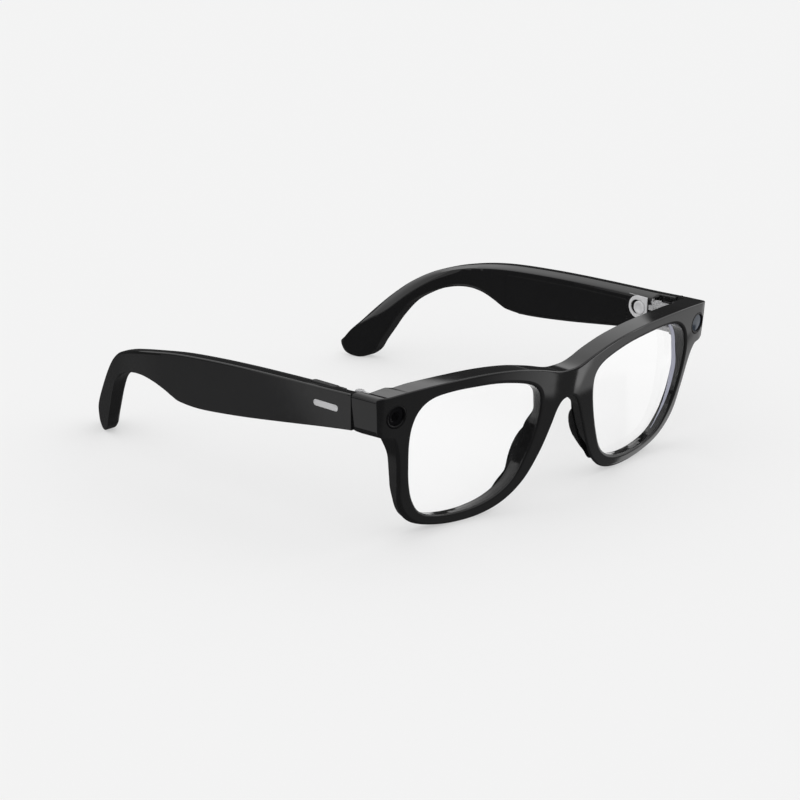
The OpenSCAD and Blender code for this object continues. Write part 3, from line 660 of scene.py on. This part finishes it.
for s, who in ((-1, "right"), (1, "left")):
    line = spaced(catmull(PAD, True), 0.4)
    g = staggered(line.min(0), line.max(0), PAD_GRID)
    g = g[inside(g, line)]
    g = g[distance(g, line) > PAD_GRID * 0.6]
    pts = np.vstack([line, g])
    n, m = len(pts), len(line)
    dist = np.concatenate([np.zeros(m), distance(g, line)])
    base = rear_face(pts[:, 0], pts[:, 1]) - 1.0
    rise = np.clip(pad_top(pts[:, 1]) - base, 0.4, None)
    round_up = np.sqrt(np.clip(1 - (1 - np.clip(dist / PAD_EDGE, 0, 1)) ** 2.2, 0, 1))
    y = base + rise * (0.3 + 0.7 * round_up)
    edges = [(i, (i + 1) % m) for i in range(m)]
    out_v, _, out_f, src, _, _ = delaunay_2d_cdt([Vector(p) for p in pts], edges, [], 0, 1e-7)
    mid = np.array([np.mean([tuple(out_v[i]) for i in f], 0) for f in out_f])
    faces = [tuple(src[i][0] for i in f) for f, ok in zip(out_f, inside(mid, line)) if ok]
    faces += [(i, j, n + j, n + i) for i, j in edges] + [tuple(n + i for i in range(m))]
    top = np.stack([pts[:, 0] * s, y - MID_Y, pts[:, 1]], 1)
    bottom = np.stack([line[:, 0] * s, base[:m] - MID_Y, line[:, 1]], 1)
    pad = new_object("nose_rest_" + who, np.vstack([top, bottom]) * MM, faces, 60)
    soft = pad.modifiers.new("soft", "SMOOTH")
    soft.iterations, soft.factor = 4, 0.5
    finish_mods(pad)
    clean(pad, 60)
    give(pad, "front", "satin_black", "nose_pad_" + who, material="pad_black")


# ---------------------------------------------------------------- temples
def plan_x(s, t):
    """How far out from its joint's outer face a temple lies, at a place back from the joint and a depth in."""
    s, t = np.broadcast_arrays(np.asarray(s, float), np.asarray(t, float))
    r = EAR_R - t
    k = np.clip(s - STRAIGHT, 0, None)
    end = r * math.sin(EAR_TURN)
    arc = np.sqrt(np.clip(r * r - np.minimum(k, end) ** 2, 0, None)) - EAR_R
    return np.where(s < STRAIGHT, -t, arc - np.clip(k - end, 0, None) * math.tan(EAR_TURN))


def temple_place(side):
    """The points of a temple, from back along it, z and in from its outer face. side is -1 right and 1 left."""
    def place(s, z, t):
        x, y = plan_x(s, t), np.asarray(s, float)
        xx = TEMPLE_X + x * math.cos(SPLAY) + y * math.sin(SPLAY)
        yy = TEMPLE_Y - x * math.sin(SPLAY) + y * math.cos(SPLAY)
        return np.stack([side * xx, yy - MID_Y, z + 0 * xx], -1)
    return place


LEDGE = (7.45, 7.6, 7.75)      # places back from the joint where a temple gets its full thickness
EAR_THIN = 2.3                 # how much thinner an ear piece's tip is
# The upper edge's profile along a temple and along its ear piece, in from the outline and in from the outer
# face: the outer rounding, the flat top, and the sloped band down to the inner side
TOP_IN = np.array([0.55, 0.36, 0.2, 0.09, 0.02, 0, 0, 0.1, 0.42, 0.85, 1.15, 1.75])[:, None]
TOP_DEEP = np.array([0, 0.03, 0.12, 0.26, 0.44, 0.6, 3.1, 3.35, 4.6, 6.1, 6.42, 6.6])[:, None]
EAR_IN = np.array([0.4, 0.26, 0.14, 0.06, 0.01, 0, 0.02, 0.12, 0.8, 1.8, 2.9, 4.1])[:, None]
EAR_DEEP = np.array([0, 0.02, 0.09, 0.2, 0.32, 0.45, 0.8, 1.0, 1.7, 2.7, 3.6, 4.3])[:, None]


def temple_depth(s, z):
    """A temple's thickness, at a place back from the joint."""
    return THICK - 3.2 * step(s, LEDGE[-1], LEDGE[0]) - EAR_THIN * np.clip((s - 84) / 50, 0, 1) + 0 * z


def temple_line():
    curve = spaced(catmull(TEMPLE, False), 0.7, False)
    joint = np.array([[0, z] for z in np.linspace(*JOINT_Z, 17)[1:-1]])
    return np.vstack([curve, joint])


def temple_profile(p):
    """Outer edge, top flat and the sloped band along the inner top; plain rounding below and at the joint."""
    s = p[:, 0]
    top = step(-inward(p)[:, 1], 0.12, 0.6) * (s > 0.2)
    ear = step(s, 92, 126)
    tip = step(s, 124, 137.5)
    joint = s < 0.6
    full = temple_depth(s, p[:, 1])
    d, t, back = rounded(len(p), np.where(joint, 0.06, 0.32), np.where(joint, 0.1, 0.6 + 0.5 * ear))
    t = np.where(back > 0, full - t, t)
    top_in = TOP_IN * (1 - ear) + (EAR_IN * (1 - tip) + d * tip) * ear
    top_deep = np.minimum(TOP_DEEP, full) * (1 - ear) + np.minimum(EAR_DEEP * full / EAR_DEEP[-1], full) * ear
    d = d * (1 - top) + top_in * top
    t = t * (1 - top) + top_deep * top
    # an even strip at each end keeps the reflections smooth
    d = np.vstack([d[:1] + 0.4, d, d[-1:] + 0.5])
    t = np.vstack([0 * t[:1], t, 0 * t[:1]])
    back = np.zeros_like(d)
    back[-1] = 1
    return d, t, back


def top_place(z0, rise):
    """Points on the right temple's top, from in, back and a height that starts at z0 and changes by rise."""
    put = temple_place(-1)

    def place(u, v, t):
        x = put(v, 0 * v, u)
        x[..., 2] = z0 + rise * t
        return x
    return place


def along_temple(side, start, slope=1.0):
    """Points along a temple, whose depth in starts at start and changes by slope."""
    put = temple_place(side)
    return lambda u, v, t: put(u, v, start + slope * t)


rear_extra = [[s, z] for s in LEDGE for z in np.arange(33.5, 46.2, 0.5)]
cover_line = eased(spaced(np.array(COVER, float), 0.6), COVER_EASE)
for side, who in ((-1, "right"), (1, "left")):
    body = who + "_temple"
    line = temple_line()
    shell = slab("temple_" + who, line, [], temple_place(side), temple_depth, [temple_profile(line)], 1.5,
                 rear_extra)
    tools = [cutter(cover_line - inward(cover_line) * 0.05, along_temple(side, COVER_DEPTH - 0.07, 2)),
             cutter(stadium(*INLAY_AT, 10.04, 2.04)[:, ::-1], along_temple(side, -1, 1.35))]
    if side < 0:
        tools.append(cutter(stadium(*BUTTON_AT, 10.8, 2.5), top_place(44.2, 3)))
    cut(shell, *tools, sharp=30)
    across = Vector((side * math.cos(SPLAY), -math.sin(SPLAY), 0))
    crisp(shell, across)
    give(shell, body, "gloss_black", "temple_shell_" + who)
    lid = slab("inner_cover_" + who, cover_line, [], along_temple(side, COVER_DEPTH), lambda u, v: 0.98 + 0 * u,
               [rounded(len(cover_line), 0.05, 0.1, 0, 3, 0.6)], 3.0)
    crisp(lid, across)
    give(lid, body, "gloss_black", "temple_cover_" + who)
    capsule = stadium(*INLAY_AT, 9.96, 1.96)[:, ::-1]
    inlay = slab("inlay_" + who, capsule, [], along_temple(side, -0.03), lambda u, v: 0.36 + 0 * u,
                 [rounded(len(capsule), 0.14, 0.02, 0, 4)], 0.6)
    give(inlay, body, "inlay_silver", "temple_inlay_" + who)

# Capture button: a low raised strip with round ends and a soft crown
line = stadium(*BUTTON_AT, 10.6, 2.3, 32)
button = slab("shutter_button", line, [], top_place(45.68, -1), lambda u, v: 1.0 + 0 * u,
              [rounded(len(line), 0.5, 0.05, 0, 7, 0.2)], 0.4)
give(button, "capture_button", "satin_black", "capture_button", material="pad_black")

# Round dished knob of the power slider, in the left temple's plate
KNOB = [(0.003, 0.62), (0.5, 0.64), (1.0, 0.72), (1.35, 0.86), (1.55, 0.97), (1.7, 1.02), (1.95, 1.03),
        (2.1, 0.99), (2.2, 0.88), (2.25, 0.74), (2.25, 0.05), (0.003, 0.05)]
out = Vector((-math.cos(SPLAY), math.sin(SPLAY), 0))
along = Vector((math.sin(SPLAY), math.cos(SPLAY), 0))
m = Matrix((along, out.cross(along), out)).transposed().to_4x4()
m.translation = Vector(temple_place(1)(*KNOB_AT)) * MM
give(lathe("slider_knob", KNOB, m, 96, 40), "power_slider", "plate_silver", "power_slider")

for node in ("hinge_plate_right", "switch_plate_left"):
    softened(node, 0.12)
for side in ("right", "left"):
    for node in ("hinge_front_leaf_", "hinge_temple_leaf_", "hinge_pin_", "rear_cover_", "hinge_screws_",
                 "speaker_grille_"):
        softened(node + side, 0.08 if "hinge" in node else 0.12)
softened("contact_carrier", 0.15)
softened("charging_contacts", 0.12)

# ---------------------------------------------------------------- floor, lights, camera
floor = raw_object("floor", [(-6, -6, 0), (6, -6, 0), (6, 6, 0), (-6, 6, 0)], [(0, 1, 2, 3)])
pale, nt, bsdf = new_material("floor")
bsdf.inputs["Roughness"].default_value = 1.0
bsdf.inputs["Specular IOR Level"].default_value = 0.0
bsdf.inputs["Base Color"].default_value = (0.45, 0.45, 0.45, 1)
bsdf.inputs["Emission Color"].default_value = (1, 1, 1, 1)
# painted reflection: the floor glows a little brighter where it is seen through the lenses, standing in for the
# light the lenses reflect
ray = nt.nodes.new("ShaderNodeLightPath")
link(nt, ranged(nt, ray.outputs["Is Transmission Ray"], 0.45, 0.535, 0, 1), bsdf.inputs["Emission Strength"])
floor.data.materials.append(pale)
floor.visible_glossy = False


class Expr:
    """Arithmetic on shader sockets, each step a Math node."""

    def __init__(self, nt, socket):
        self.nt, self.s = nt, socket

    def op(self, kind, *others):
        n = self.nt.nodes.new("ShaderNodeMath")
        n.operation = kind
        link(self.nt, self.s, n.inputs[0])
        for i, o in enumerate(others, 1):
            if isinstance(o, Expr):
                link(self.nt, o.s, n.inputs[i])
            else:
                n.inputs[i].default_value = o
        return Expr(self.nt, n.outputs[0])

    def __add__(self, o):
        return self.op("ADD", o)

    def __mul__(self, o):
        return self.op("MULTIPLY", o)

    def __sub__(self, o):
        return self.op("SUBTRACT", o)

    def ramp(self, a, b):
        """0 at a, 1 at b, smooth between."""
        n = self.nt.nodes.new("ShaderNodeMapRange")
        n.interpolation_type = "SMOOTHSTEP"
        link(self.nt, self.s, n.inputs["Value"])
        lo, hi = (a, b) if a < b else (b, a)
        n.inputs["From Min"].default_value, n.inputs["From Max"].default_value = lo, hi
        n.inputs["To Min"].default_value, n.inputs["To Max"].default_value = (0, 1) if a < b else (1, 0)
        return Expr(self.nt, n.outputs["Result"])

    def band(self, a, b, soft):
        """1 from a to b, 0 beyond, with soft edges of that width."""
        return self.ramp(a - soft, a) * self.ramp(b + soft, b)


# The studio: an even pale surround for matt surfaces, and for gloss a dark room with soft boxes in it
world = bpy.data.worlds.new("studio")
scene.world = world
world.use_nodes = True
nt = world.node_tree
nt.nodes.clear()
co = nt.nodes.new("ShaderNodeTexCoord")
sep = nt.nodes.new("ShaderNodeSeparateXYZ")
link(nt, co.outputs["Generated"], sep.inputs[0])
X, Y, Z = (Expr(nt, socket) for socket in sep.outputs)
DEGREES = 180 / math.pi
el = Z.op("ARCSINE") * DEGREES                # height of the direction
az = (Y * -1).op("ARCTAN2", X) * DEGREES      # turn from +X towards -Y
light = az.band(8, 100, 12) * el.band(-45, 30, 8) * 0.12 + 0.06
# right of the camera, seen in the far half of the front; its lower edge drops towards the far end
right = az.band(-16, 36, 0.8) * el.band(-21.6, 34, 1.0)
slant = az - (el + 32) * 0.7
right_low = slant.ramp(12.4, 10.8) * az.ramp(-21, -16) * el.band(-34, -21, 2.0) * 1.2
light = light + right.op("MAXIMUM", right_low) * 0.95
light = light + az.band(34.6, 36.2, 0.8) * el.band(-20.5, 30, 1.5) * 1.5
# left of the camera, seen in the near half of the front, brightest at its sharp edge
light = light + az.ramp(44.9, 45.4) * az.ramp(53, 44.2) * el.band(-21.5, 30, 1.5) * 1.35
# behind, low down: the near temple's outer side
side = az + (el + 17.3) * -0.43
low = el.ramp(-16.2, -16.8) * el.ramp(-40, -32)
light = light + side.ramp(-135.1, -135.9) * side.ramp(-165, -155) * low * 0.66
light = light + az.ramp(-136.5, -135) * az.ramp(-72, -130) * low * 0.24
# overhead and behind: the top faces
over = az.band(-39.2, -24, 0.6).op("MULTIPLY", el.ramp(30, 26))
light = light + el.ramp(15.8, 17.4) * 1.05 * (over * -1 + 1)
# a soft fill that the near endpiece's rounded top edge picks up
light = light + az.band(-180, -137, 1.5) * el.band(-7, 17, 3.5) * 0.6
ray = nt.nodes.new("ShaderNodeLightPath")
glossy = nt.nodes.new("ShaderNodeBackground")
link(nt, light.s, glossy.inputs["Strength"])
even = nt.nodes.new("ShaderNodeBackground")
even.inputs["Color"].default_value = (1, 1, 1, 1)
even.inputs["Strength"].default_value = 1.0
mix = nt.nodes.new("ShaderNodeMixShader")
link(nt, ray.outputs["Is Glossy Ray"], mix.inputs[0])
link(nt, even.outputs[0], mix.inputs[1])
link(nt, glossy.outputs[0], mix.inputs[2])
result = nt.nodes.new("ShaderNodeOutputWorld")
link(nt, mix.outputs[0], result.inputs[0])

CAMERA_AT = Vector((-505.678, -435.775 - MID_Y, 247.403))
TURN, TILT, ROLL = rad(-44.826), rad(17.998), rad(0.033)
cam = bpy.data.cameras.new("camera")
cam.lens, cam.sensor_width = 104.54, 36
cam.clip_start, cam.clip_end = 0.01, 50
cam_ob = bpy.data.objects.new("camera", cam)
scene.collection.objects.link(cam_ob)
back = Vector((math.sin(TURN) * math.cos(TILT), -math.cos(TURN) * math.cos(TILT), math.sin(TILT)))
level = Vector((math.cos(TURN), math.sin(TURN), 0))
upright = back.cross(level)
c, s = math.cos(ROLL), math.sin(ROLL)
mat = Matrix((c * level + s * upright, -s * level + c * upright, back)).transposed().to_4x4()
mat.translation = CAMERA_AT * MM
cam_ob.matrix_world = mat
scene.camera = cam_ob
scene.view_settings.view_transform = "Standard"
